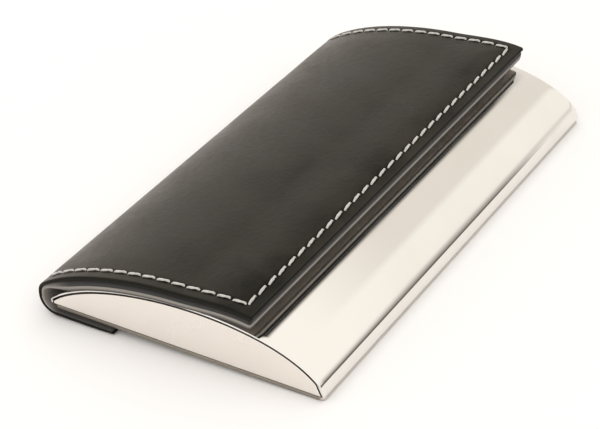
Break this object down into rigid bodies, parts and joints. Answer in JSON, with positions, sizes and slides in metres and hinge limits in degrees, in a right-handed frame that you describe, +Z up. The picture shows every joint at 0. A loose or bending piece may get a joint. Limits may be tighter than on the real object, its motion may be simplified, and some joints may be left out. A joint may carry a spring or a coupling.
{
  "type": "business card case",
  "caption": "Slim steel card case with an arched polished top and a stitched leather flap that wraps round the rear edge and closes on magnets.",
  "frame": {"origin": "middle of the footprint, on the surface the case lies on", "axes": "+X along the case's length, +Y toward the leather wrap at the rear edge, +Z up through the flap"},
  "size_m": [0.0998, 0.0582, 0.0158],
  "materials": {
    "steel_mirror": "mirror-polished stainless steel",
    "steel_satin": "satin stainless steel",
    "keeper_steel": "plain mild steel strip",
    "leather": "smooth charcoal leather, semi-matt",
    "lining": "grey-tan suede-like lining with a cut edge",
    "board": "pressed fibre board",
    "thread": "waxed off-white thread",
    "velvet": "black flocked card",
    "magnet": "nickel-plated magnet"
  },
  "bodies": {
    "case": {"base_plate": "steel_satin", "dome_shell": "steel_mirror", "end_plate_left": "steel_satin", "end_plate_right": "steel_satin", "tray_lining": "velvet", "keeper_plate_left": "keeper_steel", "keeper_plate_right": "keeper_steel", "tail_leather": "leather", "tail_lining": "lining"},
    "spine": {"spine_leather": "leather", "spine_lining": "lining"},
    "flap": {"flap_leather": "leather", "flap_board": "board", "flap_lining": "lining", "magnet_left": "magnet", "magnet_right": "magnet", "seam_thread_front": "thread", "seam_thread_left": "thread", "seam_thread_right": "thread"}
  },
  "joints": [
    {"name": "lower_bend", "type": "hinge", "parent": "case", "child": "spine", "pos_m": [0, 0.0277, 0.00061], "axis": [-1, 0, 0], "range_deg": [0, 72]},
    {"name": "upper_bend", "type": "hinge", "parent": "spine", "child": "flap", "pos_m": [0, 0.02898, 0.00482], "axis": [-1, 0, 0], "range_deg": [0, 72]}
  ],
  "couplings": [
    {"joint": "upper_bend", "follows": "lower_bend", "ratio": 1}
  ]
}
